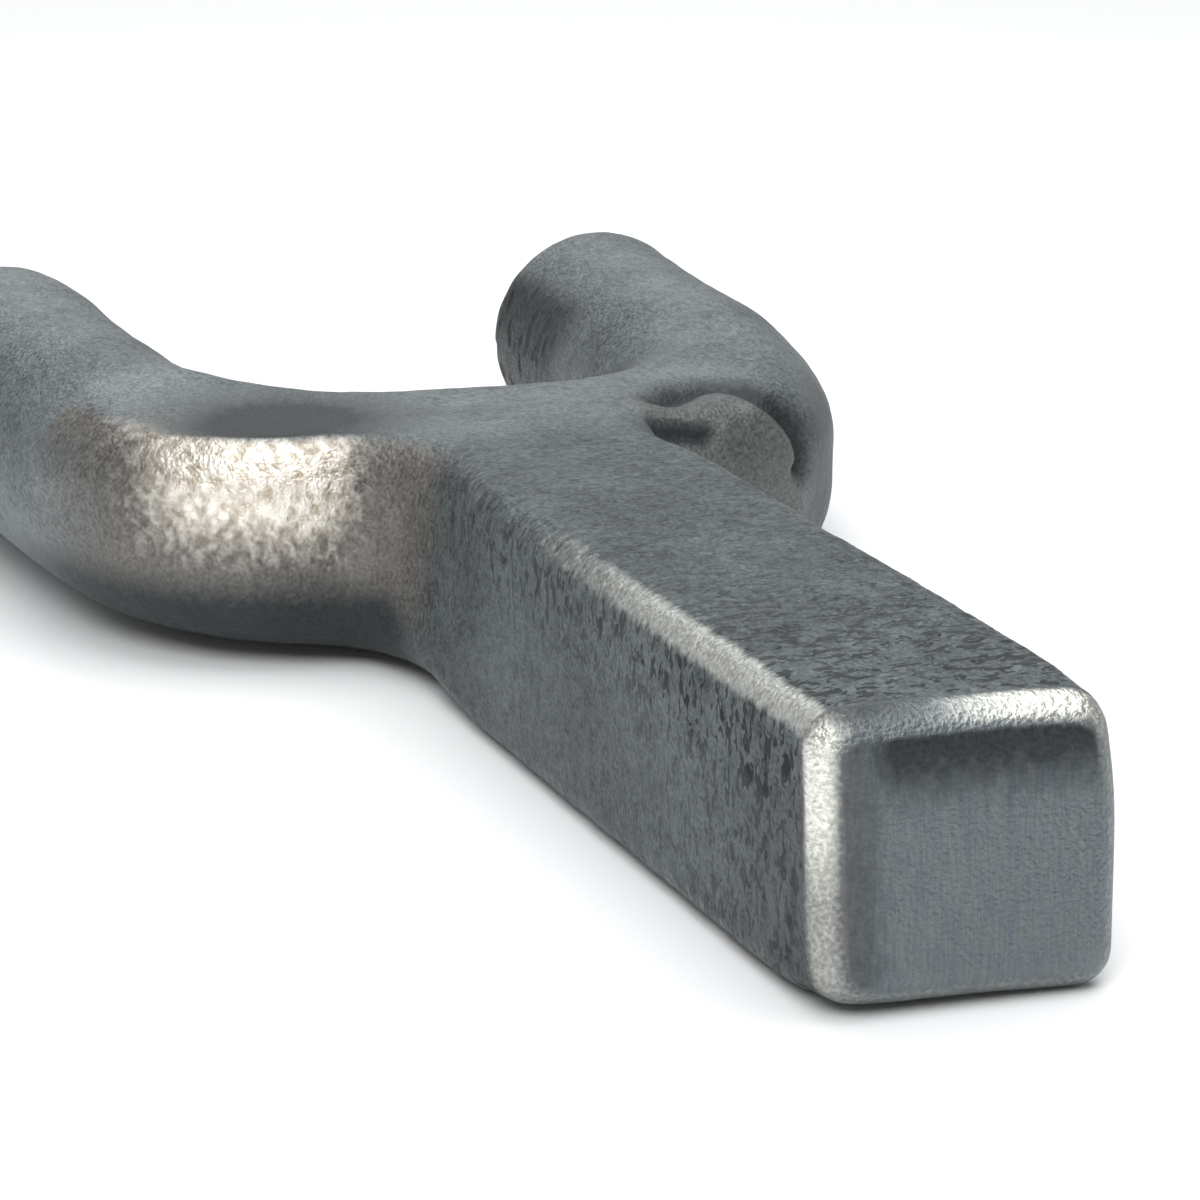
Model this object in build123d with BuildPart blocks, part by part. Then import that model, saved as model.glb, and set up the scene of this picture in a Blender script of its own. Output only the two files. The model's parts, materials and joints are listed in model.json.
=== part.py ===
"""A bending fork for the hardy hole of an anvil, lying on its side.

The square shank points towards -Y and its two round tines towards +Y. Up is +Z and the table is z = 0. The tool
is one forging, made here as six sections that meet face to face: shank, shoulder, two arms and two tines.
"""

from build123d import *
import os
from math import radians, tan

os.makedirs("parts", exist_ok=True)

# Where the tool lies: the middle of its box is x = 0, y = 0.
shank_x = -1.43
end_y = -86.5

# Shank: a square bar for a one inch hardy hole.
shank_width = 25.4
shank_height = 24.8
shank_length = 74.7
corner_radius = 3.0

# The shank's end is ground by hand, so its face is a little out of square both ways.
end_skew = -4.9
end_lean = 3.8
end_rounding = 2.4
grinding_stock = 3.0

# Shoulder: the shank thins slightly and then widens into the yoke.
neck_length = 14.0
neck_bottom = 0.8
neck_top = 24.3
flare_length = 17.0
flare_width = 9.5
flare_rounding = 3.0
shoulder_half_width = 24.0

# Fork: one round bar, bent twice, in a plane that rises a little towards the tips.
bar_radius = 12.3
yoke_distance = 110.6
yoke_height = 12.55
fork_rise = 2.2
yoke_radius = 19.0
bend_radius = 21.0
tip_rounding = 2.5

# Each side's corner of the bend and its tip, measured across and along from the middle of the yoke.
left_corner = (-28.2, -5.4)
left_tip = (-34.4, 63.0)
right_corner = (32.2, -9.9)
right_tip = (37.2, 59.8)

middle_height = shank_height / 2
fork_plane = Plane(
    origin=(shank_x, end_y + yoke_distance, yoke_height),
    x_dir=(1, 0, 0),
    z_dir=Vector(0, 0, 1).rotate(Axis.X, fork_rise),
)
ground_plane = Plane(
    origin=(shank_x, end_y, middle_height),
    z_dir=(-tan(radians(end_skew)), 1, -tan(radians(end_lean))),
)
left_cut = Plane.YZ.offset(shank_x - shoulder_half_width)
right_cut = Plane.YZ.offset(shank_x + shoulder_half_width)


def station(distance, bottom, top):
    """The plane across the tool at a distance from the shank's end, halfway between two heights."""
    return Plane(
        origin=(shank_x, end_y + distance, (bottom + top) / 2),
        x_dir=(-1, 0, 0),
        z_dir=(0, 1, 0),
    )


def tine_plane(corner, tip):
    """The plane across a tine's root, where its bend ends, facing the tip."""
    centre = fork_plane.from_local_coords(Vector(*corner))
    end = fork_plane.from_local_coords(Vector(*tip))
    inward = fork_plane.from_local_coords(Vector(0, 0)) - centre
    along = (end - centre).normalized()
    tangent_length = bend_radius / tan(radians(inward.get_angle(along)) / 2)
    return Plane(origin=centre + along * tangent_length, z_dir=along)


def tine_length(corner, tip):
    """The straight length of a tine, from the end of its bend to its tip."""
    end = fork_plane.from_local_coords(Vector(*tip))
    return (end - tine_plane(corner, tip).origin).length


left_root = tine_plane(left_corner, left_tip)
right_root = tine_plane(right_corner, right_tip)
left_tip_point = fork_plane.from_local_coords(Vector(*left_tip))

# The centre line of the whole bar, from the left tine's tip round the yoke to the right tine's tip.
with BuildLine(fork_plane) as centre_line:
    FilletPolyline(
        left_tip,
        left_corner,
        (0, 0),
        right_corner,
        right_tip,
        radius=[bend_radius, yoke_radius, bend_radius],
    )

# Shank: a square bar, cut off at the ground face, with the rim of that face rounded.
with BuildPart() as shank:
    with BuildSketch(station(-grinding_stock, 0, shank_height)):
        RectangleRounded(shank_width, shank_height, corner_radius)
    extrude(amount=shank_length + grinding_stock)
    split(bisect_by=ground_plane, keep=Keep.TOP)
    ground_end = shank.faces().sort_by(Axis.Y)[0]
    fillet(ground_end.edges(), radius=end_rounding)
shank.part.label = "shank"
export_step(shank.part, "parts/shank.step")

# The whole bent bar, from which the yoke and both arms are cut.
with BuildPart() as bent_bar:
    with BuildSketch(Plane(origin=left_tip_point, z_dir=left_root.z_dir)):
        Circle(bar_radius)
    sweep(path=centre_line.line)

# Shoulder: the neck, then a flare that grows with the square of its length and runs into the bar.
with BuildPart() as shoulder:
    neck_end = shank_length + neck_length
    with BuildSketch(station(shank_length, 0, shank_height)):
        RectangleRounded(shank_width, shank_height, corner_radius)
    with BuildSketch(station(neck_end, neck_bottom, neck_top)):
        RectangleRounded(shank_width, neck_top - neck_bottom, corner_radius)
    for share in (0.5, 1.0):
        with BuildSketch(station(neck_end + share * flare_length, neck_bottom, neck_top)):
            RectangleRounded(
                shank_width + 2 * flare_width * share**2,
                neck_top - neck_bottom,
                corner_radius + flare_rounding * share,
            )
    loft()
    add(bent_bar.part)
    split(bisect_by=left_cut, keep=Keep.TOP)
    split(bisect_by=right_cut, keep=Keep.BOTTOM)
    split(bisect_by=left_root, keep=Keep.BOTTOM)
    split(bisect_by=right_root, keep=Keep.BOTTOM)
shoulder.part.label = "shoulder"
export_step(shoulder.part, "parts/shoulder.step")

# Left arm: the bend outside the shoulder, as far as the tine's root.
with BuildPart() as left_arm:
    add(bent_bar.part)
    split(bisect_by=left_cut, keep=Keep.BOTTOM)
    split(bisect_by=left_root, keep=Keep.BOTTOM)
left_arm.part.label = "left_arm"
export_step(left_arm.part, "parts/left_arm.step")

# Right arm: the same on the other side.
with BuildPart() as right_arm:
    add(bent_bar.part)
    split(bisect_by=right_cut, keep=Keep.TOP)
    split(bisect_by=right_root, keep=Keep.BOTTOM)
right_arm.part.label = "right_arm"
export_step(right_arm.part, "parts/right_arm.step")

# Left tine: a straight round bar with a rounded end.
with BuildPart() as left_tine:
    with BuildSketch(left_root):
        Circle(bar_radius)
    extrude(amount=tine_length(left_corner, left_tip))
    fillet(left_tine.edges().sort_by(Axis.Y)[-1], radius=tip_rounding)
left_tine.part.label = "left_tine"
export_step(left_tine.part, "parts/left_tine.step")

# Right tine: a little shorter than the left one.
with BuildPart() as right_tine:
    with BuildSketch(right_root):
        Circle(bar_radius)
    extrude(amount=tine_length(right_corner, right_tip))
    fillet(right_tine.edges().sort_by(Axis.Y)[-1], radius=tip_rounding)
right_tine.part.label = "right_tine"
export_step(right_tine.part, "parts/right_tine.step")
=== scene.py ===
"""A hardy-hole bending fork: one forging with a square shank, a flared shoulder and two bent round tines.

The whole skin is made as one surface, so that the forging blends as the real one does, and is then parted where
the CAD sections meet. Every finished piece stands for its own CAD section. All lengths in the size classes are
millimetres, and millimetre turns them into the frame's metres.
"""

import json
import logging
from dataclasses import dataclass, field
from enum import Enum
from math import atan2, cos, pi, radians, sin, tan

import bmesh
import bpy
import numpy as np
from mathutils import Matrix, Vector, noise


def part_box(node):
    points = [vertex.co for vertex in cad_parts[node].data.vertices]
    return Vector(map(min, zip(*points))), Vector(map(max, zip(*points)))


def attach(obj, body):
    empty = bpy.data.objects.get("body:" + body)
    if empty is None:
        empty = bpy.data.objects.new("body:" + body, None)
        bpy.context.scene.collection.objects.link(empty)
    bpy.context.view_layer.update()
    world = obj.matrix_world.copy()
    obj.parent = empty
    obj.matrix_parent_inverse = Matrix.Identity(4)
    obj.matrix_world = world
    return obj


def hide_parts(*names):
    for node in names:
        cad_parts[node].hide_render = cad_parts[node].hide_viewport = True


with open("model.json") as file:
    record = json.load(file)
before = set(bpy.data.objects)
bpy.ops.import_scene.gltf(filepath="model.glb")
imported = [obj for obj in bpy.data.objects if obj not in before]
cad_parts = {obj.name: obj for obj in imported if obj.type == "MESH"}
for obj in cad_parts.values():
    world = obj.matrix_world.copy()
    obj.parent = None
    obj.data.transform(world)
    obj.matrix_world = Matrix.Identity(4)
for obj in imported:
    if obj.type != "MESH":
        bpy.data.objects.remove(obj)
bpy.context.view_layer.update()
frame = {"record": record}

millimetre = 0.001
log = logging.getLogger("bending_fork")

Triple = tuple[float, float, float]
Socket = bpy.types.NodeSocket
Tree = bpy.types.NodeTree


class Mask(Enum):
    """The named values that each point of the skin carries for its finish, and for the painted highlights and
    painted shade laid over it.
    """

    FACE = "ground_face"
    # RIM is partly a painted highlight, EDGE has a painted highlight on the top-left corner, PATCH a painted
    # highlight in the rub's middle, and DARK is painted shade with the right tine's smudges.
    RIM = "ground_rim_and_highlight"
    EDGE = "worn_edge_and_highlight"
    PATCH = "rubbed_patch_and_highlight"
    BURNISH = "burnished"
    HOLLOW = "hollow"
    PITS = "pitted"
    DARK = "smudge_and_painted_shade"


class Section(Enum):
    """The sections of the forging, named as their CAD nodes, each with a material slot's name that nothing here
    uses.
    """

    SHANK = ("shank", "forged_scale")
    SHOULDER = ("shoulder", "forged_scale")
    LEFT_ARM = ("left_arm", "burnished_steel")
    RIGHT_ARM = ("right_arm", "burnished_steel")
    LEFT_TINE = ("left_tine", "burnished_steel")
    RIGHT_TINE = ("right_tine", "burnished_steel")


def linear(code: str) -> tuple[float, float, float, float]:
    """Turn an sRGB hex colour into the linear colour that a shader takes.

    Args:
        code: Six hex digits.

    Returns:
        Linear red, green, blue and an alpha of 1.
    """
    shares = [int(code[i : i + 2], 16) / 255 for i in (0, 2, 4)]
    return (*[s / 12.92 if s <= 0.04045 else ((s + 0.055) / 1.055) ** 2.4 for s in shares], 1.0)


def ease(value: np.ndarray, low: float, high: float) -> np.ndarray:
    """Rise smoothly from 0 at low to 1 at high.

    Args:
        value: The values to ease.
        low: Where the rise starts.
        high: Where it ends; it may be less than low, for a fall.

    Returns:
        Values from 0 to 1.
    """
    share = np.clip((value - low) / (high - low), 0, 1)
    return share * share * (3 - 2 * share)


def rounded_reach(angle: float, half_width: float, half_height: float, corner: float) -> float:
    """How far a rounded rectangle reaches from its middle in one direction.

    Args:
        angle: The direction, from the width towards the height.
        half_width: Half the width.
        half_height: Half the height.
        corner: The corner radius.

    Returns:
        The distance to the outline.
    """
    across, along = abs(cos(angle)), abs(sin(angle))
    flat = min(half_width / max(across, 1e-9), half_height / max(along, 1e-9))
    x, z = half_width - corner, half_height - corner
    if flat * across <= x or flat * along <= z:
        return flat
    towards = across * x + along * z
    return towards + (max(towards**2 - x * x - z * z + corner**2, 0)) ** 0.5


@dataclass
class Ring:
    """One cross-section of a blank: where it stands and what outline it has."""

    middle: Vector
    across: Vector
    upward: Vector
    half_width: float
    half_height: float
    corner: float

    def point(self, angle: float) -> Vector:
        """The outline's point in one direction, from across towards upward, in the blank's own millimetres."""
        reach = rounded_reach(angle, self.half_width, self.half_height, self.corner)
        return self.middle + self.across * (reach * cos(angle)) + self.upward * (reach * sin(angle))


def loft(rings: list[Ring], segments: int = 128) -> bmesh.types.BMesh:
    """Bridge a row of rings into one closed blank.

    Args:
        rings: The cross-sections in order.
        segments: How many points each ring has.

    Returns:
        The blank, in millimetres.
    """
    bm = bmesh.new()
    loops = []
    for ring in rings:
        made = bmesh.ops.create_circle(bm, cap_ends=False, segments=segments, radius=1.0)["verts"]
        for vert in made:
            vert.co = ring.point(atan2(vert.co.y, vert.co.x))
        loops.append({edge for vert in made for edge in vert.link_edges})
    for near, far in zip(loops, loops[1:]):
        bmesh.ops.bridge_loops(bm, edges=list(near | far))
    bmesh.ops.holes_fill(bm, edges=list(loops[0]) + list(loops[-1]), sides=0)
    bmesh.ops.recalc_face_normals(bm, faces=bm.faces)
    return bm


@dataclass
class Stem:
    """The square shank and the flare of the shoulder, measured from the middle of the ground end."""

    half_width: float = 12.7
    growth: float = 0.017 / 75
    half_height: float = 12.36
    corner: float = 3.0
    rim: float = 2.5
    rim_flatness: float = 0.45
    rim_steps: int = 8
    square_from: float = 6.0
    skew: float = -4.9
    lean: float = 3.8
    neck: float = 74.7
    shoulder: float = 88.7
    neck_bottom: float = 0.8
    neck_top: float = 24.35
    flare_length: float = 17.0
    flare_width: float = 9.5
    flare_rounding: float = 3.0

    def ring(self, distance: float, inset: float, square: bool) -> Ring:
        """One cross-section of the straight shank.

        Args:
            distance: How far it stands from the ground end.
            inset: How much smaller it is all round.
            square: Whether it stands square to the shank and not along the hand-ground end.

        Returns:
            The ring.
        """
        across, upward = Vector((1, 0, 0)), Vector((0, 0, 1))
        if not square:
            across = Vector((1, tan(radians(self.skew)), 0))
            upward = Vector((0, tan(radians(self.lean)), 1))
        return Ring(
            Vector((0, distance, self.half_height)),
            across,
            upward,
            self.half_width * (1 + self.growth * distance) - inset,
            self.half_height - inset,
            max(self.corner - inset * 0.6, 0.8),
        )

    def rings(self) -> list[Ring]:
        """All the cross-sections, from the ground end to the middle of the yoke.

        Returns:
            The rings in order.
        """
        made = []
        for step in range(self.rim_steps, -1, -1):
            share = step / self.rim_steps
            turn = share * pi / 2
            round_back, flat_back = 1 - sin(turn), 1 - share
            round_inset, flat_inset = 1 - cos(turn), share
            back = round_back + (flat_back - round_back) * self.rim_flatness
            inset = round_inset + (flat_inset - round_inset) * self.rim_flatness
            made.append(self.ring(self.rim * back, self.rim * inset, False))
        made.append(self.ring(self.square_from, 0.0, True))
        made.append(self.ring(self.neck, 0.0, True))
        for share in np.linspace(0.2, 1.0, 5):
            made.append(self.necked(self.neck + share * (self.shoulder - self.neck), float(share), 0.0))
        for share in np.linspace(0.15, 1.0, 6):
            made.append(self.necked(self.shoulder + share * self.flare_length, 1.0, float(share)))
        return made

    def necked(self, distance: float, thinned: float, flared: float) -> Ring:
        """One cross-section of the neck or the flare.

        Args:
            distance: How far it stands from the ground end.
            thinned: How far the neck's thinning has gone, from 0 to 1.
            flared: How far the flare has gone, from 0 to 1.

        Returns:
            The ring.
        """
        eased = thinned * thinned * (3 - 2 * thinned)
        bottom = self.neck_bottom * eased
        top = 2 * self.half_height + (self.neck_top - 2 * self.half_height) * eased
        return Ring(
            Vector((0, distance, (bottom + top) / 2)),
            Vector((1, 0, 0)),
            Vector((0, 0, 1)),
            self.half_width * (1 + self.growth * distance) + self.flare_width * flared**2,
            (top - bottom) / 2,
            self.corner + self.flare_rounding * flared,
        )


@dataclass(frozen=True)
class Arm:
    """One arm and its tine: the corner of its bend and its tip, across and along from the middle of the yoke.

    Its radii and heights are the bar's, in the middle of the bend and at the tip.
    """

    corner: tuple[float, float]
    tip: tuple[float, float]
    bend: float
    radii: tuple[float, float]
    heights: tuple[float, float]


@dataclass
class BentBar:
    """The bar that makes both arms and both tines, bent round the yoke."""

    yoke_along: float = 110.6
    yoke_radius: float = 10.9
    yoke_height: float = 12.57
    tip_rounding: float = 2.5
    squareness: float = 0.55
    square_reach: float = 0.62
    bend_steps: int = 24
    tine_steps: int = 12
    smoothings: int = 6
    left: Arm = Arm((-28.2, -5.4), (-34.4, 63.0), bend=25.3, radii=(12.6, 12.68), heights=(13.04, 15.07))
    right: Arm = Arm((32.2, -9.9), (37.2, 59.8), bend=25.6, radii=(11.98, 12.2), heights=(12.31, 14.68))

    def line(self, arm: Arm) -> list[tuple[float, float, float, float]]:
        """The centre line of one arm, from the yoke to the tip.

        Args:
            arm: The arm to follow.

        Returns:
            Points across and along, with the height and the bar's radius at each.
        """
        corner, tip = Vector(arm.corner), Vector(arm.tip)
        inward, outward = -corner, tip - corner
        run = min(arm.bend / tan(inward.angle(outward) / 2), inward.length * 0.98)
        start, end = corner + inward.normalized() * run, corner + outward.normalized() * run
        points = [Vector((0.0, 0.0))]
        for t in np.linspace(0, 1, self.bend_steps).tolist():
            points.append(start.lerp(corner, t).lerp(corner.lerp(end, t), t))
        points += [end.lerp(tip, t) for t in np.linspace(0.1, 1, self.tine_steps).tolist()]
        reach = np.concatenate([[0], np.cumsum([(b - a).length for a, b in zip(points, points[1:])])])
        middle = reach[self.bend_steps // 2 + 1] / reach[-1]
        made = []
        for point, share in zip(points, reach / reach[-1]):
            radius = np.interp(share, [0, middle, 1], [self.yoke_radius, *arm.radii])
            height = np.interp(share, [0, middle, 1], [self.yoke_height, *arm.heights])
            made.append((point.x, point.y, float(height), float(radius)))
        return made

    def rings(self) -> list[Ring]:
        """All the cross-sections, from the left tip round the yoke to the right tip.

        Returns:
            The rings in order.
        """
        walk = list(reversed(self.line(self.left))) + self.line(self.right)[1:]
        points = np.array(walk)
        for _ in range(self.smoothings):
            points[1:-1] = points[1:-1] * 0.5 + (points[2:] + points[:-2]) * 0.25
        tangents = np.gradient(points[:, :3], axis=0)
        tangents[:, 2] = 0
        yoke = int(np.argmin(np.abs(points[:, 0]) + np.abs(points[:, 1])))
        made = []
        for index, (point, tangent) in enumerate(zip(points, tangents)):
            along = Vector(tangent).normalized()
            away = abs(index - yoke) / max(yoke, 1)
            square = self.squareness * (1 - min(away / self.square_reach, 1.0) ** 2)
            radius = float(point[3])
            made.append(
                Ring(
                    Vector((point[0], point[1] + self.yoke_along, point[2])),
                    along.cross(Vector((0, 0, 1))),
                    Vector((0, 0, 1)),
                    radius,
                    radius,
                    radius * (1 - square),
                )
            )
        return self.rounded_tip(made[:2])[::-1] + made[1:-1] + self.rounded_tip(made[-1:-3:-1])

    def rounded_tip(self, last: list[Ring]) -> list[Ring]:
        """Replace a tine's last ring by rings that round its rim.

        Args:
            last: The end ring and the ring before it.

        Returns:
            The rings of the rounding, towards the tip.
        """
        end, before = last
        outward = (end.middle - before.middle).normalized()
        made = []
        for step in range(6):
            turn = step / 5 * pi / 2
            inset = self.tip_rounding * (1 - cos(turn))
            back = self.tip_rounding * (1 - sin(turn))
            radius = end.half_width - inset
            made.append(Ring(end.middle - outward * back, end.across, end.upward, radius, radius, radius))
        return made


@dataclass
class Skin:
    """The whole surface as arrays: its points, its edges and the operations that sculpt it."""

    mesh: bpy.types.Mesh
    points: np.ndarray = field(init=False)
    edges: np.ndarray = field(init=False)
    count: np.ndarray = field(init=False)

    def __post_init__(self) -> None:
        """Read the points and the edges out of the mesh."""
        self.points = np.zeros(len(self.mesh.vertices) * 3)
        self.mesh.vertices.foreach_get("co", self.points)
        self.points = self.points.reshape(-1, 3)
        self.edges = np.zeros(len(self.mesh.edges) * 2, int)
        self.mesh.edges.foreach_get("vertices", self.edges)
        self.edges = self.edges.reshape(-1, 2)
        self.count = np.bincount(self.edges.ravel(), minlength=len(self.points))

    def neighbours(self, values: np.ndarray) -> np.ndarray:
        """The mean of each point's neighbours.

        Args:
            values: One value or one row of values for each point.

        Returns:
            The means, in the same shape.
        """
        columns = values.reshape(len(values), -1)
        near, far = self.edges.T
        size = len(values)
        total = np.stack(
            [np.bincount(near, c[far], size) + np.bincount(far, c[near], size) for c in columns.T], axis=1
        )
        return (total / self.count[:, None]).reshape(values.shape)

    def relaxed(self, values: np.ndarray, times: int, strength: np.ndarray | float = 1.0) -> np.ndarray:
        """Smooth values over the surface.

        Args:
            values: One value or one row of values for each point.
            times: How often to average with the neighbours.
            strength: How much each point takes part.

        Returns:
            The smoothed values.
        """
        for _ in range(times):
            values = values + (self.neighbours(values) - values) * strength * 0.8
        return values

    def normals(self) -> np.ndarray:
        """The outward direction at each point of the surface as it now is.

        Returns:
            One unit vector for each point.
        """
        self.store()
        found = np.zeros(len(self.points) * 3)
        self.mesh.vertex_normals.foreach_get("vector", found)
        return found.reshape(-1, 3)

    def store(self) -> None:
        """Write the points back into the mesh."""
        self.mesh.vertices.foreach_set("co", self.points.ravel())
        self.mesh.update()


@dataclass(frozen=True)
class Dent:
    """A spot that the hammer or the grinder left proud or shy, in the stem's millimetres."""

    spot: Triple
    push: Triple
    reach: float


@dataclass(frozen=True)
class Crease:
    """A ridge, or a fold where its rise is below 0, that the bending left along a path in stem millimetres."""

    path: tuple[Triple, ...]
    rise: float
    width: float

    def nearness(self, points: np.ndarray) -> np.ndarray:
        """How near the crease's path each point lies.

        Args:
            points: The skin's points in millimetres.

        Returns:
            1 on the path, falling to 0 within a few widths.
        """
        corners = np.array(self.path)
        found = np.zeros(len(points))
        low, high = corners.min(0) - 3 * self.width, corners.max(0) + 3 * self.width
        close = np.flatnonzero(((points > low) & (points < high)).all(axis=1))
        best = np.full(len(close), np.inf)
        for start, end in zip(corners, corners[1:]):
            run = end - start
            share = np.clip((points[close] - start) @ run / (run @ run), 0, 1)
            best = np.minimum(best, np.linalg.norm(points[close] - start - share[:, None] * run, axis=1))
        found[close] = np.exp(-((best / self.width) ** 2))
        return found


@dataclass(frozen=True)
class Zone:
    """A part of the surface, told by readings taken at each point.

    A limit names a reading, the value where the zone starts and the value where it is full. A spot names a
    reading, its value in the spot's middle and how far the spot reaches. All of them multiply, and the product
    runs from least to most.
    """

    limits: tuple[tuple[str, float, float], ...] = ()
    spot: tuple[tuple[str, float, float], ...] = ()
    most: float = 1.0
    least: float = 0.0

    def share(self, readings: dict[str, np.ndarray]) -> np.ndarray:
        """How far each point belongs to the zone.

        Args:
            readings: Each reading's values, by name.

        Returns:
            One value for each point.
        """
        found = np.ones(len(readings["x"]))
        for name, low, high in self.limits:
            found *= ease(readings[name], low, high)
        for name, middle, reach in self.spot:
            found *= np.exp(-(((readings[name] - middle) / reach) ** 2))
        return self.least + (self.most - self.least) * found


@dataclass(frozen=True)
class Wear:
    """Where the surface is ground, worn, rubbed, burnished, hollow, pitted and smudged, and where painted
    highlights and painted shade lie on it.

    The readings are x, y and z in the stem's millimetres; depth, into the shank from its ground end; facing,
    how squarely the surface looks out of that end; left, right, above, below and behind, how far it looks
    there; top_left and top_right, how far it looks out of a top corner; and proud, how far it stands out.
    """

    eighth_turn: float = 0.7071
    ways: tuple[str, ...] = ("left", "right", "above", "below")
    shank: Zone = Zone((("y", 98, 84),))
    # The ground end: its face, its polished rim, which carries a painted highlight, and the painted shade on
    # both.
    ground: Zone = Zone((("depth", 3.4, 2.4),))
    face: Zone = Zone((("facing", 0.88, 0.97), ("depth", 1.6, 0.8)))
    # face_top paints shade along the top of the face; face_side darkens the face towards its left.
    face_top: Zone = Zone((("z", 14.5, 22), ("x", -11, -6)), most=0.95)
    face_side: Zone = Zone((("x", -5.5, -9.5),), most=0.45)
    face_stain: Zone = Zone((("x", -6.5, -11.5),))
    face_stain_thinning: float = 0.5
    rim: Zone = Zone((("depth", 3.3, 2), ("facing", 0.96, 0.74), ("facing", 0.06, 0.3)))
    # Painted highlight: the rim is brightest where it faces up, towards the top's right, and where it faces
    # left, and dim where it faces right and down.
    rim_above: Zone = Zone((("x", -5, 8),), least=0.04)
    rim_left: Zone = Zone((("z", 9, 18),), least=0.36)
    rim_highlight_right: float = 0.12
    rim_highlight_below: float = 0.15
    # Painted shade on the rim: darker on the left of its top, on its right side and on its lower side.
    dull_above: Zone = Zone((("x", 1, -8),), most=0.75)
    rim_shade_right: float = 0.65
    dull_below: Zone = Zone((("depth", 1.2, 2.4),), most=0.6)
    # The shank: its worn top corners, the left one painted brighter as a highlight, and the pits, which crowd
    # under the left one and near the end; and painted shade down its left side.
    # The left top corner is worn bare and also carries a painted highlight, brighter and wider than the right
    # one.
    corner_left: Zone = Zone((("top_left", 0.78, 0.98), ("z", 19.5, 22.5)))
    corner_right: Zone = Zone((("top_right", 0.93, 0.99), ("z", 20, 22.5)), most=0.45)
    corner_along: Zone = Zone((("y", 72, 22),), least=0.12)
    corner_start: Zone = Zone((("depth", 1.5, 3.5),))
    knocked: Zone = Zone((("proud", 0.07, 0.28), ("depth", 3, 6)), most=0.18)
    pits_along: Zone = Zone((("y", 46, 6),), most=0.85, least=0.3)
    pits_side: Zone = Zone((("z", 13, 20),), most=0.45, least=-0.15)
    pits_start: Zone = Zone((("depth", 2.5, 4),))
    pits_worn: float = 0.85
    # Painted shade down the shank's left side.
    shaded_side: Zone = Zone((("y", 98, 84), ("y", 24, 5), ("z", 21, 16)), most=0.4)
    # The yoke and the arms, whose front is rubbed bright on the left, with a painted highlight in the middle of
    # the rub, and filmed with brown round that; painted shade lies on the left arm's top strip, in and outside
    # the right bend, under the arms and along the folds.
    burnish: Zone = Zone((("y", 86, 104),))
    hollow: Zone = Zone((("proud", -0.02, -0.2), ("y", 80, 92)))
    arm_front: Zone = Zone((("y", 125, 124.999), ("z", 23.9, 22.8)))
    film: Zone = Zone(
        (("x", -44, -36), ("x", -5, -12), ("y", 86, 94), ("z", 3, 9), ("behind", 0.2, -0.1)),
        most=0.85,
    )
    patch: Zone = Zone(
        (("x", -38, -31), ("x", -13.8, -18.5), ("y", 97, 100), ("z", 8.5, 17.5), ("behind", 0.1, -0.25))
    )
    # Painted highlight: the rub is brightest in the middle of this spot.
    patch_core: Zone = Zone(spot=(("x", -25.5, 8), ("z", 18.6, 4.2)), least=0.5)
    # Painted shade on the upward face of the left arm's top strip.
    oily_top: Zone = Zone((("above", 0.84, 0.96),), (("x", -20.5, 11), ("y", 109, 10)), most=1.35)
    top_strip_shade_most: float = 0.95
    bent_inside: Zone = Zone((("x", 12, 17), ("x", 36, 31), ("y", 106, 101), ("y", 88, 96)))
    bent_inside_film: float = 0.45
    # Painted shade in the hollow of the right bend; the brown film there is the steel's own.
    bent_inside_shade: float = 0.3
    # Painted shade on the outside of the right bend.
    bent_outside: Zone = Zone((("x", 32, 38), ("y", 124, 110), ("z", 24, 17)), most=0.75)
    # Painted shade under the arms, reaching higher on the front of the left arm.
    under_front: Zone = Zone((("z", 12.5, 5.5), ("x", 8, -10), ("behind", 0.35, -0.1)))
    under_all: Zone = Zone((("z", 7, 2),), most=0.7)
    under_arms: Zone = Zone((("y", 88, 97), ("y", 140, 118)))
    # Painted shade along the folds.
    fold_spread: float = 0.45
    # The inner side of the right tine, towards its tip.
    smudge: Zone = Zone((("x", 30, 27), ("x", 0, 0.001), ("y", 143, 152), ("z", 25, 21)))
    smudge_pits: float = 0.6
    smudge_oil: float = 0.8

    def readings(
        self, stem: Stem, points: np.ndarray, normals: np.ndarray, proud: np.ndarray
    ) -> dict[str, np.ndarray]:
        """Take the readings that the zones are told by.

        Args:
            stem: The stem, for the slope of its ground end.
            points: The skin's points in millimetres.
            normals: The outward direction at each.
            proud: How far each stands out of its smoothed surroundings.

        Returns:
            Each reading's values, by name.
        """
        x, y, z = points.T
        skew, lean = tan(radians(stem.skew)), tan(radians(stem.lean))
        outward = np.array([skew, -1.0, lean])
        across, behind, upward = normals.T
        above = np.maximum(upward, 0)
        return {
            "x": x,
            "y": y,
            "z": z,
            "depth": y - skew * x - lean * (z - stem.half_height),
            "facing": normals @ (outward / np.linalg.norm(outward)),
            "left": np.maximum(-across, 0),
            "right": np.maximum(across, 0),
            "above": above,
            "below": np.maximum(-upward, 0),
            "behind": behind,
            "top_left": (above - across) * self.eighth_turn,
            "top_right": (above + across) * self.eighth_turn,
            "proud": proud,
        }

    def shaded_and_smudged(
        self, readings: dict[str, np.ndarray], shares: dict[str, np.ndarray], folds: list[np.ndarray]
    ) -> np.ndarray:
        """Where painted shade darkens the steel, and where smudges darken the right tine's inner side.

        Args:
            readings: The readings at the skin's points.
            shares: How far each point belongs to each zone.
            folds: How near each point lies to each fold.

        Returns:
            The share of darkness at each point.
        """
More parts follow.
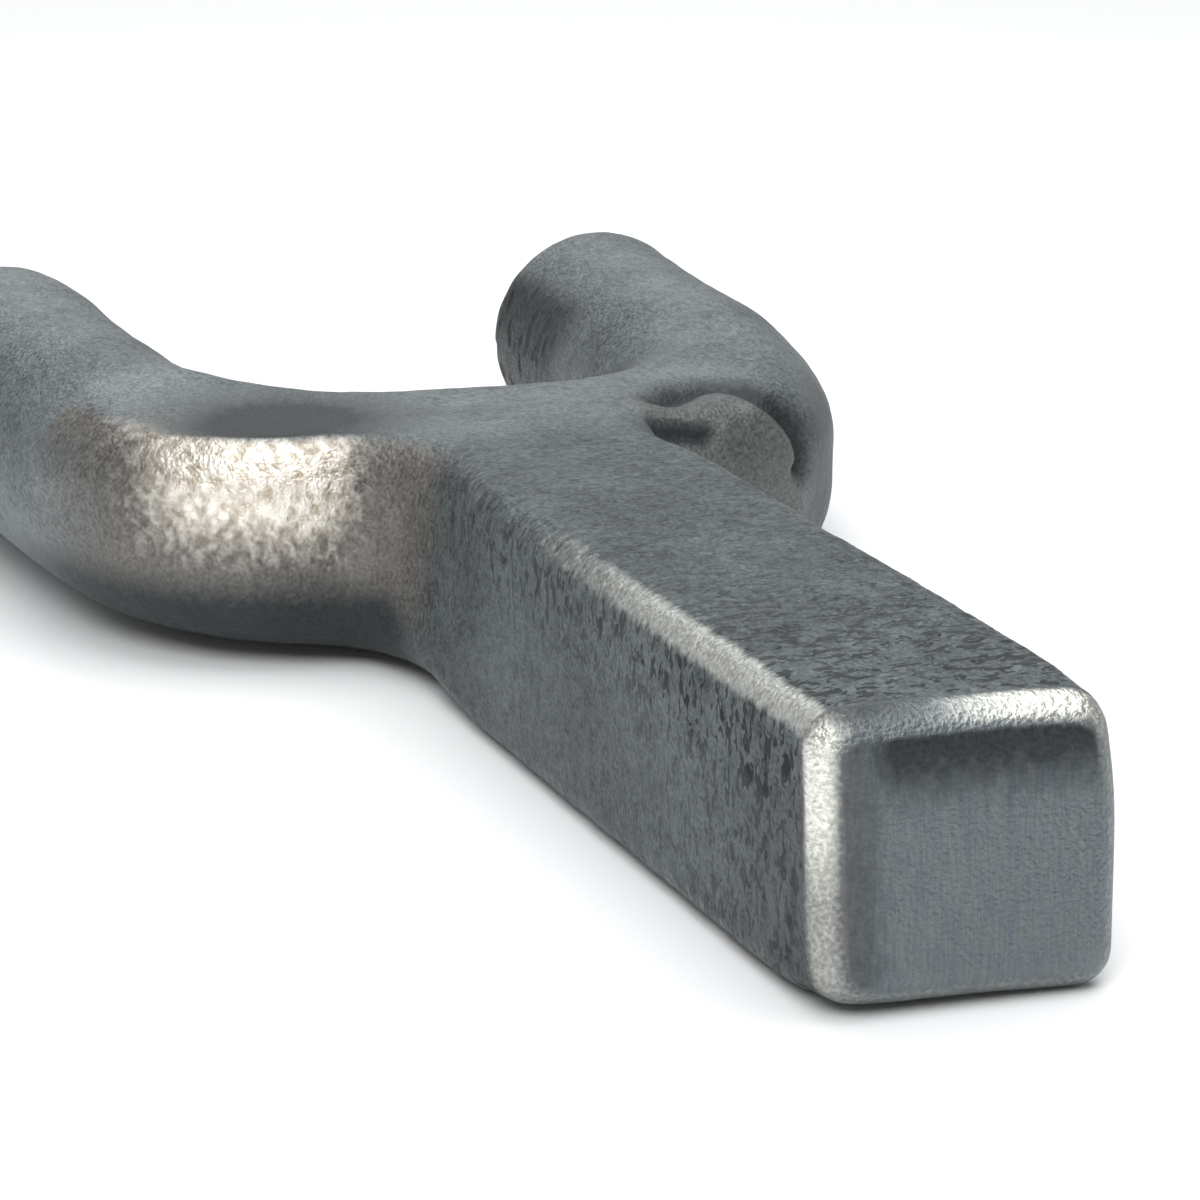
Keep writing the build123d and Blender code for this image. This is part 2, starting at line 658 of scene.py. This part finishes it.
        # Painted shade on the face's top and left, and on the rim's right side, its lower side and the left of
        # its top.
        face = shares["face"] * np.maximum(shares["face_top"], shares["face_side"])
        _, right, above, below = (readings[way] ** 2 for way in self.ways)
        rim = np.maximum(above * shares["dull_above"], right * self.rim_shade_right)
        rim = shares["ground"] * np.maximum(rim, below * shares["dull_below"])
        # Painted shade outside the right bend and down the shank's left side.
        sides = shares["bent_outside"] + readings["left"] * shares["shaded_side"]
        # Painted shade under the arms.
        under = np.maximum(shares["under_front"], shares["under_all"]) * shares["under_arms"]
        # Painted shade on the left arm's top strip.
        top = np.minimum(shares["oily_top"], self.top_strip_shade_most)
        # Smudges on the right tine, and painted shade in the right bend.
        tine, bend = shares["smudge"] * self.smudge_oil, shares["bent_inside"] * self.bent_inside_shade
        # Painted shade along the folds.
        folded = [fold**self.fold_spread for fold in folds]
        return np.maximum.reduce([top, tine, face, rim, sides, under, bend, *folded])

    def masks(self, readings: dict[str, np.ndarray], folds: list[np.ndarray]) -> dict[Mask, np.ndarray]:
        """Work out every mask of the finish.

        Args:
            readings: The readings at the skin's points.
            folds: How near each point lies to each fold.

        Returns:
            One value from 0 to 1 for each point and each mask.
        """
        shares = {name: zone.share(readings) for name, zone in vars(self).items() if isinstance(zone, Zone)}
        left, right, above, below = (readings[way] ** 2 for way in self.ways)
        # Painted highlight: how bright the ground rim is, weighted by the way each point faces.
        bright = above * shares["rim_above"] + left * shares["rim_left"]
        bright += right * self.rim_highlight_right + below * self.rim_highlight_below
        bright /= np.maximum(left + right + above + below, 1e-6)
        stained = shares["ground"] * shares["face_stain"]
        # Worn top corners, with a painted highlight on the left one.
        worn = np.maximum(shares["corner_left"] * shares["corner_along"], shares["corner_right"])
        worn = np.maximum(worn * shares["shank"] * shares["corner_start"], shares["knocked"])
        pits = np.clip(shares["pits_along"] + readings["left"] * shares["pits_side"], 0.0, 1.0)
        pits *= shares["shank"] * shares["pits_start"] * (1 - self.pits_worn * worn)
        film = np.maximum(shares["film"] * shares["arm_front"], shares["bent_inside"] * self.bent_inside_film)
        return {
            Mask.FACE: shares["ground"] - stained * self.face_stain_thinning,
            # The ground rim, with its painted highlight.
            Mask.RIM: shares["rim"] * bright,
            # Worn edges, with a painted highlight on the top-left corner.
            Mask.EDGE: worn,
            # The rub, with a painted highlight at its middle.
            Mask.PATCH: shares["patch"] * shares["arm_front"] * shares["patch_core"],
            Mask.BURNISH: shares["burnish"],
            Mask.HOLLOW: np.maximum.reduce([shares["hollow"], film, stained]),
            Mask.PITS: np.maximum(pits, shares["smudge"] * self.smudge_pits),
            # Painted shade, with the right tine's smudges.
            Mask.DARK: self.shaded_and_smudged(readings, shares, folds),
        }


@dataclass
class Forging:
    """The whole tool as one skin, with the masks for its finish, ready to be parted into sections."""

    stem: Stem = field(default_factory=Stem)
    bar: BentBar = field(default_factory=BentBar)
    wear: Wear = Wear()
    voxel: float = 0.32
    coarse_voxel: float = 0.6
    # How often the skin is averaged, at the averaging voxel: in the webs, all over, to find what stands proud,
    # and to calm the directions that the masks are told by.
    averaging_voxel: float = 0.45
    web_averaging: int = 60
    skin_averaging: int = 3
    proud_averaging: int = 30
    calm_averaging: int = 4
    web: Zone = Zone((("y", 84.0, 93.0), ("beside", 36.0, 22.0), ("y", 150.0, 132.0)))
    # The flat on top falls slowly towards the tines, and it rises out of the steel on its four sides.
    flat_height: float = 24.35
    flat_start: float = 88.0
    flat_fall: float = 0.036
    flat_left: tuple[float, float] = (-30.0, 0.03)
    flat_right: tuple[float, float] = (10.0, 0.012)
    flat_far: tuple[float, float] = (112.0, 0.014)
    flat_near: float = 0.05
    # Its rim is sharp in the middle, and blunter the further it lies beyond each side.
    blunt: float = 0.3
    blunt_left: tuple[float, float] = (-28.0, 0.25)
    blunt_right: tuple[float, float] = (10.0, 0.1)
    # Hammer marks in millimetres: their size, a shift that sets them apart, and their height.
    hammered: tuple[Triple, ...] = ((15.0, 0.0, 0.2), (5.0, 7.0, 0.1), (1.7, 0.0, 0.05))
    drawn_mm: Triple = (2.6, 1.3, 2.6)
    drawn_height: float = 0.09
    pit_level: tuple[float, float] = (0.14, 0.45)
    pit_depth: float = 0.3
    ground_calm: float = 0.85
    dents: tuple[Dent, ...] = (
        # The top of the left tine and the outside of the right bend stand a little proud.
        Dent((-28.0, 167.0, 26.0), (0.4, 0.0, 0.75), 9.0),
        Dent((41.7, 133.0, 23.0), (0.65, 0.0, 0.9), 14.0),
        # The left arm is lifted off the table, and the shoulder is hollow where the arm leaves it.
        Dent((-30.0, 109.0, 1.0), (0.2, 0.3, 0.9), 16.0),
        Dent((-12.7, 90.0, 23.0), (1.9, 0.0, -0.3), 11.0),
        # The grinder took more off the corners and the foot of the end than off its middle.
        Dent((12.7, 2.0, 24.7), (-0.6, 0.0, -0.5), 6.0),
        Dent((-12.7, 2.0, 0.0), (0.5, 0.0, 0.6), 5.0),
        Dent((12.7, 1.0, 14.0), (0.35, 0.0, 0.0), 8.0),
        Dent((-3.0, 0.0, 0.0), (0.0, 0.0, 0.6), 11.0),
    )
    # A deep fold round the inside of the right bend, a short one in front of it, and the ridge between them.
    creases: tuple[Crease, ...] = (
        Crease(
            (
                *((18.6, 103.9, 23.9), (21.7, 106.5, 23.9), (24.7, 107.1, 24.0), (27.6, 105.8, 23.9)),
                *((29.9, 104.0, 22.7), (32.2, 103.1, 20.9), (33.7, 103.3, 18.5), (33.3, 102.8, 15.8)),
            ),
            rise=-1.6,
            width=1.9,
        ),
        Crease(((15.3, 97.6, 22.2), (17.8, 98.1, 21.3), (20.6, 98.4, 20.6)), rise=-1.1, width=1.2),
        Crease(((27.0, 101.5, 21.9), (29.2, 100.9, 19.6), (31.2, 101.2, 16.4)), rise=0.7, width=1.1),
    )

    def place(self) -> Matrix:
        """Where the ground end's middle stands in the frame, from the shank's CAD box."""
        low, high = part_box("shank")
        shift = Matrix.Translation(((low.x + high.x) / 2, high.y - self.stem.neck * millimetre, 0.0))
        return shift @ Matrix.Scale(millimetre, 4)

    def blank(self) -> bpy.types.Mesh:
        """Join the stem and the bar into one closed skin of even quads.

        Returns:
            The mesh, in millimetres.
        """
        joined = bpy.data.meshes.new("blank")
        bm = loft(self.stem.rings())
        other = bpy.data.meshes.new("bar")
        bar = loft(self.bar.rings())
        bar.to_mesh(other)
        bar.free()
        bm.from_mesh(other)
        bpy.data.meshes.remove(other)
        bm.to_mesh(joined)
        bm.free()
        holder = bpy.data.objects.new("blank", joined)
        bpy.context.scene.collection.objects.link(holder)
        remesh = holder.modifiers.new("even", "REMESH")
        remesh.mode = "VOXEL"
        remesh.voxel_size = self.voxel
        remesh.use_smooth_shade = True
        made = bpy.data.meshes.new_from_object(holder.evaluated_get(bpy.context.evaluated_depsgraph_get()))
        bpy.data.objects.remove(holder)
        bpy.data.meshes.remove(joined)
        return made

    def sculpt(self) -> bpy.types.Mesh:
        """Blend the joint, work the surface and mark the finishes.

        Returns:
            The finished skin, in metres, in the frame.
        """
        skin = Skin(self.blank())
        fineness = (self.averaging_voxel / self.voxel) ** 2
        x, y, _ = skin.points.T
        web = self.web.share({"x": x, "y": y, "beside": np.abs(x)})
        skin.points = skin.relaxed(skin.points, int(self.web_averaging * fineness), web[:, None])
        skin.points = skin.relaxed(skin.points, int(self.skin_averaging * fineness))
        self.shape(skin.points)
        smooth = skin.relaxed(skin.points, int(self.proud_averaging * fineness))
        normals = skin.normals()
        proud = ((skin.points - smooth) * normals).sum(1)
        calm = skin.relaxed(normals, int(self.calm_averaging * fineness))
        calm /= np.linalg.norm(calm, axis=1)[:, None]
        folds = [crease.nearness(skin.points) for crease in self.creases if crease.rise < 0]
        masks = self.wear.masks(self.wear.readings(self.stem, skin.points, calm, proud), folds)
        skin.points = skin.points + normals * self.relief(skin.points, masks)[:, None]
        skin.points[:, 2] = np.maximum(skin.points[:, 2], 0.0)
        skin.store()
        for mask, values in masks.items():
            layer = skin.mesh.attributes.new(mask.value, "FLOAT", "POINT")
            layer.data.foreach_set("value", values.astype(np.float32))
        skin.mesh.transform(self.place())
        return skin.mesh

    def shape(self, points: np.ndarray) -> None:
        """Push the dents in or out, and flatten the top of the yoke and the left arm as the hammer left it.

        Args:
            points: The skin's points in millimetres, which are moved.
        """
        for dent in self.dents:
            away = np.linalg.norm(points - np.array(dent.spot), axis=1)
            points += np.exp(-((away / dent.reach) ** 2))[:, None] * np.array(dent.push)
        x, y, z = points.T
        ceiling = self.flat_height - self.flat_fall * np.maximum(y - self.flat_start, 0)
        ceiling += self.flat_near * np.maximum(self.flat_start - y, 0)
        for past, (_, rise) in (
            (self.flat_left[0] - x, self.flat_left),
            (x - self.flat_right[0], self.flat_right),
            (y - self.flat_far[0], self.flat_far),
        ):
            ceiling += rise * np.maximum(past, 0) ** 2
        blunt = self.blunt + self.blunt_left[1] * np.maximum(self.blunt_left[0] - x, 0)
        blunt += self.blunt_right[1] * np.maximum(x - self.blunt_right[0], 0)
        over = z - ceiling
        points[:, 2] -= (np.sqrt(over**2 + blunt**2) + over) / 2

    def relief(self, points: np.ndarray, masks: dict[Mask, np.ndarray]) -> np.ndarray:
        """How far hammer marks, rolled grain, pits and folds move each point outwards.

        Args:
            points: The skin's points in millimetres.
            masks: The masks of the finishes.

        Returns:
            Millimetres, outwards.
        """
        drawn = self.waves(points / np.array(self.drawn_mm))
        pits = ease(drawn, *self.pit_level) * self.pit_depth
        total = (drawn * self.drawn_height - pits) * masks[Mask.PITS]
        for size, shift, height in self.hammered:
            total += self.waves(points / size + shift) * height
        folded = sum(crease.rise * crease.nearness(points) for crease in self.creases)
        return total * (1 - self.ground_calm * masks[Mask.FACE]) + folded

    def waves(self, points: np.ndarray) -> np.ndarray:
        """Smooth noise from -1 to 1 at each point."""
        return np.array([noise.noise(Vector(point)) for point in points])


def root_plane(name: str) -> tuple[Vector, Vector]:
    """The plane where an arm ends and its tine starts, from the tine's mount.

    Args:
        name: The tine's node.

    Returns:
        A point on the plane and its direction towards the tip.
    """
    mount = next(m for m in frame["record"]["mounts"] if m["name"] == name)
    axis = Vector(mount["axis"]).normalized()
    return Vector(mount["pos_m"]) - axis * (mount["dims"]["length_mm"] / 2 * millimetre), axis


@dataclass
class Parting:
    """Parts the skin where the CAD sections meet, and keeps the shading whole across each joint."""

    skin: bpy.types.Mesh
    nearness: float = 1e-7

    def cuts(self, section: Section) -> list[tuple[Vector, Vector]]:
        """The planes that bound a section, each with the direction that leads out of it.

        Args:
            section: The section to bound.

        Returns:
            Points and directions.
        """
        neck = Vector((0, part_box("shank")[1].y, 0))
        low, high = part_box("shoulder")
        middle = Vector(((low.x + high.x) / 2, 0, 0))
        right, along = Vector((1, 0, 0)), Vector((0, 1, 0))
        left_root, left_axis = root_plane("left_tine")
        right_root, right_axis = root_plane("right_tine")
        return {
            Section.SHANK: [(neck, along)],
            Section.SHOULDER: [
                *((neck, -along), (low, -right), (high, right)),
                *((left_root, left_axis), (right_root, right_axis)),
            ],
            Section.LEFT_ARM: [(low, right), (left_root, left_axis)],
            Section.RIGHT_ARM: [(high, -right), (right_root, right_axis)],
            Section.LEFT_TINE: [(left_root, -left_axis), (middle, right)],
            Section.RIGHT_TINE: [(right_root, -right_axis), (middle, -right)],
        }[section]

    def piece(self, section: Section, material: bpy.types.Material) -> bpy.types.Object:
        """Cut one section out of the skin, close it and dress it.

        Args:
            section: The section to make.
            material: Its finish.

        Returns:
            The finished piece.
        """
        node, slot = section.value
        bm = bmesh.new()
        bm.from_mesh(self.skin)
        for point, outward in self.cuts(section):
            cut = bmesh.ops.bisect_plane(
                bm,
                geom=bm.verts[:] + bm.edges[:] + bm.faces[:],
                dist=self.nearness,
                plane_co=point,
                plane_no=outward,
                clear_outer=True,
            )
            rim = [item for item in cut["geom_cut"] if isinstance(item, bmesh.types.BMEdge)]
            bmesh.ops.holes_fill(bm, edges=rim, sides=0)
        bmesh.ops.triangulate(bm, faces=[face for face in bm.faces if len(face.verts) > 4])
        mesh = bpy.data.meshes.new(f"{node}_skin")
        bm.to_mesh(mesh)
        bm.free()
        mesh.shade_smooth()
        whole = np.zeros(len(mesh.vertices) * 3, np.float32)
        mesh.attributes["whole_normal"].data.foreach_get("vector", whole)
        mesh.normals_split_custom_set_from_vertices(whole.reshape(-1, 3))
        mesh.materials.append(material)
        piece = bpy.data.objects.new(f"{node}_skin", mesh)
        bpy.context.scene.collection.objects.link(piece)
        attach(piece, "root")
        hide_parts(node)
        log.info("%s: %d faces", piece.name, len(mesh.polygons))
        return piece


def node(tree: Tree, kind: str, links: dict | None = None, **settings: object) -> bpy.types.Node:
    """Add a node with its settings, its input values and its links.

    Args:
        tree: The material's tree.
        kind: The node's type.
        links: Input name or number to a value or to another node's output.
        settings: The node's own properties.

    Returns:
        The new node.
    """
    made = tree.nodes.new(kind)
    for name, value in settings.items():
        setattr(made, name, value)
    for name, value in (links or {}).items():
        if isinstance(value, Socket):
            tree.links.new(value, made.inputs[name])
        else:
            made.inputs[name].default_value = value
    return made


@dataclass(frozen=True)
class Finish:
    """How one kind of surface looks: its two mingled colours, and how metallic and how rough it is."""

    colour: str
    mingled: str
    metallic: float
    roughness: float


@dataclass(frozen=True)
class Pattern:
    """One noise: its size on the steel in millimetres, its turn, its detail, and the levels it runs between."""

    size: Triple
    slant: float = 0.0
    detail: float = 3.0
    warp: float = 0.0
    low: float = 0.34
    high: float = 0.66


@dataclass(frozen=True)
class ForgedSteel:
    """Drop-forged carbon steel, handled.

    The forging's scale leaves a dark, rough, blue-grey skin with pits drawn out round the bar. Handling
    burnishes the arms and tines a little lighter, hollows keep a brown film, corners wear to bare metal, one
    arm is rubbed bright by the work bent round it, and the end of the shank is ground. Painted highlights lie
    on the ground rim, the shank's top-left corner and the middle of the rub; painted shade darkens the arms'
    undersides, the right bend, the folds, the left arm's top strip, the shank's left side and parts of the
    ground end, and smudges darken the right tine.
    """

    scale: Finish = Finish("23292c", "747c7e", 0.55, 0.48)
    burnish: Finish = Finish("3f4649", "8f9698", 0.65, 0.42)
    film: Finish = Finish("504c48", "8a8680", 0.6, 0.4)
    # Painted shade, and the smudges on the right tine.
    oil: Finish = Finish("080e11", "2c3336", 0.2, 0.42)
    pit: Finish = Finish("101518", "1c2225", 0.0, 0.7)
    # The rubbed patch; its near-white colour is partly a painted highlight.
    patch: Finish = Finish("c6baa7", "fffaf0", 1.0, 0.35)
    # Worn bare corners; the top-left one is partly a painted highlight.
    corner: Finish = Finish("a3a5a1", "c9cbc6", 0.75, 0.42)
    face: Finish = Finish("646f76", "7a7d7c", 0.9, 0.35)
    # The polished ground rim; its light colour is partly a painted highlight.
    rim: Finish = Finish("d2d3ca", "fbfcf4", 1.0, 0.27)
    # Clouds of tempering colour, the scale's grain, the mottles of rubbing, the frayed border of the wear, and
    # the pits, which run round the bar.
    cloud: Pattern = Pattern((11.0, 11.0, 11.0))
    grain: Pattern = Pattern((0.42, 0.42, 0.42), detail=4.0)
    mottle: Pattern = Pattern((0.9, 1.4, 1.2), detail=5.0, warp=0.3, high=0.64)
    wear: Pattern = Pattern((1.6, 0.9, 1.6), warp=0.4)
    pits: Pattern = Pattern((1.7, 0.85, 1.7), detail=5.0, warp=0.8, low=0.455, high=0.41)
    # Grinding lines down the face and strokes round its rim, both drawn coarser than grit so that they show.
    lines: Pattern = Pattern((0.22, 4.0, 2.6), detail=2.0, warp=0.2)
    strokes: Pattern = Pattern((0.4, 1.4, 1.4), slant=28.0, detail=1.0, warp=0.3, low=0.38, high=0.62)
    # How much mottle joins the clouds, how much grain joins both and the grinding lines, and how much it dulls.
    mottle_share: float = 0.5
    grain_share: float = 0.5
    ground_grain: float = 0.3
    grain_gloss: float = 0.12

    def material(self) -> bpy.types.Material:
        """Build the finish's nodes.

        Returns:
            The material.
        """
        made = bpy.data.materials.new("forged_steel")
        made.use_nodes = True
        tree = made.node_tree
        masks = {m: node(tree, "ShaderNodeAttribute", attribute_name=m.value).outputs["Fac"] for m in Mask}
        patterns = self.patterns(tree)
        colour, metallic, roughness = self.layers(tree, masks, patterns)
        shader = tree.nodes["Principled BSDF"]
        tree.links.new(colour, shader.inputs["Base Color"])
        tree.links.new(metallic, shader.inputs["Metallic"])
        tree.links.new(roughness, shader.inputs["Roughness"])
        height = self.height(tree, masks, patterns)
        bump = node(tree, "ShaderNodeBump", {"Strength": 1.0, "Distance": millimetre, "Height": height})
        tree.links.new(bump.outputs["Normal"], shader.inputs["Normal"])
        return made

    def patterns(self, tree: Tree) -> dict[str, Socket]:
        """Add the noises, each scaled from its size in millimetres on the steel.

        Args:
            tree: The material's tree.

        Returns:
            Each pattern's value from 0 to 1, by name.
        """
        place = node(tree, "ShaderNodeTexCoord").outputs["Object"]
        found = {}
        for name, pattern in vars(self).items():
            if not isinstance(pattern, Pattern):
                continue
            scale = [1 / (part * millimetre) for part in pattern.size]
            spread = {"Vector": place, "Rotation": (0.0, radians(pattern.slant), 0.0), "Scale": scale}
            spread = node(tree, "ShaderNodeMapping", spread).outputs[0]
            fractal = {"Vector": spread, "Scale": 1.0, "Detail": pattern.detail, "Distortion": pattern.warp}
            fractal = node(tree, "ShaderNodeTexNoise", fractal).outputs[0]
            level = {"Value": fractal, "From Min": pattern.low, "From Max": pattern.high}
            found[name] = node(tree, "ShaderNodeMapRange", level).outputs[0]
        return found

    def layers(self, tree: Tree, masks: dict[Mask, Socket], patterns: dict[str, Socket]) -> list[Socket]:
        """Lay the finishes over each other, each where its mask says.

        Args:
            tree: The material's tree.
            masks: The skin's masks.
            patterns: The noises.

        Returns:
            The colour, how metallic it is and how rough.
        """
        clouded = {0: self.mottle_share, 2: patterns["cloud"], 3: patterns["mottle"]}
        clouded = node(tree, "ShaderNodeMix", clouded).outputs[0]
        mingled = {0: self.grain_share, 2: clouded, 3: patterns["grain"]}
        mingled = node(tree, "ShaderNodeMix", mingled).outputs[0]
        brushed = {0: self.ground_grain, 2: patterns["lines"], 3: patterns["grain"]}
        brushed = node(tree, "ShaderNodeMix", brushed).outputs[0]
        pitted = {0: patterns["pits"], 1: masks[Mask.PITS]}
        pitted = node(tree, "ShaderNodeMath", pitted, operation="MULTIPLY").outputs[0]
        ragged = {}
        for mask, pattern, share in (
            (Mask.EDGE, "wear", 0.3),
            (Mask.PATCH, "mottle", 0.22),
            (Mask.RIM, "grain", 0.12),
            (Mask.DARK, "mottle", 0.22),
        ):
            frayed = {0: patterns[pattern], 1: share, 2: masks[mask]}
            broken = node(tree, "ShaderNodeMath", frayed, operation="MULTIPLY_ADD").outputs[0]
            level = {"Value": broken, "From Min": share, "From Max": 1.0}
            ragged[mask] = node(tree, "ShaderNodeMapRange", level).outputs[0]
        # The corner, patch and rim layers are partly painted highlights; the dark layer is painted shade with
        # the right tine's smudges.
        order = [
            (self.burnish, masks[Mask.BURNISH], mingled),
            (self.film, masks[Mask.HOLLOW], mingled),
            (self.corner, ragged[Mask.EDGE], patterns["grain"]),
            (self.pit, pitted, mingled),
            (self.patch, ragged[Mask.PATCH], patterns["mottle"]),
            (self.face, masks[Mask.FACE], brushed),
            (self.oil, ragged[Mask.DARK], mingled),
            (self.rim, ragged[Mask.RIM], patterns["grain"]),
        ]
        colour, metallic, roughness = linear(self.scale.colour), self.scale.metallic, self.scale.roughness
        own = {0: mingled, 6: colour, 7: linear(self.scale.mingled)}
        colour = node(tree, "ShaderNodeMix", own, data_type="RGBA").outputs[2]
        for finish, mask, pattern in order:
            own = {0: pattern, 6: linear(finish.colour), 7: linear(finish.mingled)}
            tint = node(tree, "ShaderNodeMix", own, data_type="RGBA").outputs[2]
            colour = node(tree, "ShaderNodeMix", {0: mask, 6: colour, 7: tint}, data_type="RGBA").outputs[2]
            metallic = node(tree, "ShaderNodeMix", {0: mask, 2: metallic, 3: finish.metallic}).outputs[0]
            roughness = node(tree, "ShaderNodeMix", {0: mask, 2: roughness, 3: finish.roughness}).outputs[0]
        gloss = {0: patterns["grain"], 1: self.grain_gloss, 2: roughness}
        roughness = node(tree, "ShaderNodeMath", gloss, operation="MULTIPLY_ADD").outputs[0]
        return [colour, metallic, roughness]

    def height(self, tree: Tree, masks: dict[Mask, Socket], patterns: dict[str, Socket]) -> Socket:
        """Add up the fine relief that the geometry is too coarse to hold, in millimetres.

        Args:
            tree: The material's tree.
            masks: The skin's masks.
            patterns: The noises.

        Returns:
            The height.
        """
        total = 0.0
        for pattern, mask, depth in (
            ("grain", None, 0.07),
            ("pits", Mask.PITS, -0.22),
            ("mottle", Mask.PATCH, 0.08),
            ("lines", Mask.FACE, 0.012),
            ("strokes", Mask.RIM, 0.03),
        ):
            part = patterns[pattern]
            if mask:
                part = node(tree, "ShaderNodeMath", {0: part, 1: masks[mask]}, operation="MULTIPLY").outputs[0]
            added = {0: part, 1: depth, 2: total}
            total = node(tree, "ShaderNodeMath", added, operation="MULTIPLY_ADD").outputs[0]
        return total


@dataclass
class Studio:
    """The pale table, the soft lights and the camera."""

    camera_from_end: Triple = (-135.84, -256.63, 120.92)
    heading: float = 22.206
    tilt: float = 16.852
    roll: float = 0.196
    lens: float = 120.0
    sensor: float = 36.0
    nearest: float = 0.01
    table_size: float = 6.0
    table_colour: str = "f4f5f6"
    table_roughness: float = 0.6
    aim: Triple = (0.0, 0.0, 0.01)
    room: float = 0.36
    lamps: tuple[tuple[str, float, float, Triple], ...] = (
        ("overhead", 1.0, 7.0, (0.14, 0.0, 0.9)),
        ("front", 0.46, 4.6, (-0.36, -0.5, 0.66)),
        ("back", 1.2, 6.5, (0.3, 1.7, 1.3)),
    )

    def camera(self, place: Matrix) -> None:
        """Stand the camera in front of the ground end, to its left and above.

        Args:
            place: Where the ground end's middle stands.
        """
        data = bpy.data.cameras.new("camera")
        data.lens = self.lens
        data.sensor_width = self.sensor
        data.clip_start = self.nearest
        holder = bpy.data.objects.new("camera", data)
        bpy.context.scene.collection.objects.link(holder)
        turn = (
            Matrix.Rotation(-radians(self.heading), 4, "Z")
            @ Matrix.Rotation(pi / 2 - radians(self.tilt), 4, "X")
            @ Matrix.Rotation(-radians(self.roll), 4, "Z")
        )
        holder.matrix_world = Matrix.Translation(place @ Vector(self.camera_from_end)) @ turn
        bpy.context.scene.camera = holder

    def floor(self) -> None:
        """Lay the pale table."""
        bm = bmesh.new()
        bmesh.ops.create_grid(bm, x_segments=2, y_segments=2, size=self.table_size)
        mesh = bpy.data.meshes.new("table")
        bm.to_mesh(mesh)
        bm.free()
        table = bpy.data.objects.new("table", mesh)
        bpy.context.scene.collection.objects.link(table)
        made = bpy.data.materials.new("white_table")
        made.use_nodes = True
        shader = made.node_tree.nodes["Principled BSDF"]
        shader.inputs["Base Color"].default_value = linear(self.table_colour)
        shader.inputs["Roughness"].default_value = self.table_roughness
        mesh.materials.append(made)

    def lamp(self, name: str, size: float, power: float, spot: Triple) -> None:
        """Hang one soft square light that faces the tool.

        Args:
            name: The light's name.
            size: The length of its side, in metres.
            power: Its power in watts.
            spot: Where it hangs, in metres.
        """
        data = bpy.data.lights.new(name, "AREA")
        data.size = size
        data.energy = power
        holder = bpy.data.objects.new(name, data)
        bpy.context.scene.collection.objects.link(holder)
        turn = (Vector(self.aim) - Vector(spot)).to_track_quat("-Z", "Y").to_matrix().to_4x4()
        holder.matrix_world = Matrix.Translation(spot) @ turn

    def lights(self) -> None:
        """Light the table from a broad softbox overhead, one in front to the left, and one far behind."""
        world = bpy.data.worlds.new("studio")
        world.use_nodes = True
        world.node_tree.nodes["Background"].inputs["Color"].default_value = (1, 1, 1, 1)
        world.node_tree.nodes["Background"].inputs["Strength"].default_value = self.room
        bpy.context.scene.world = world
        for lamp in self.lamps:
            self.lamp(*lamp)


def main() -> None:
    """Build the tool section by section, then the studio round it."""
    logging.basicConfig(level=logging.INFO, format="%(name)s %(message)s")
    bpy.context.scene.view_settings.view_transform = "Standard"
    forging = Forging()
    skin = forging.sculpt()
    normals = np.zeros(len(skin.vertices) * 3, np.float32)
    skin.vertex_normals.foreach_get("vector", normals)
    skin.attributes.new("whole_normal", "FLOAT_VECTOR", "POINT").data.foreach_set("vector", normals)
    log.info("whole skin: %d faces", len(skin.polygons))
    parting = Parting(skin)
    steel = ForgedSteel().material()
    for section in Section:
        parting.piece(section, steel)
    bpy.data.meshes.remove(skin)
    studio = Studio()
    studio.camera(forging.place())
    studio.floor()
    studio.lights()


if __name__ == "__main__":
    main()
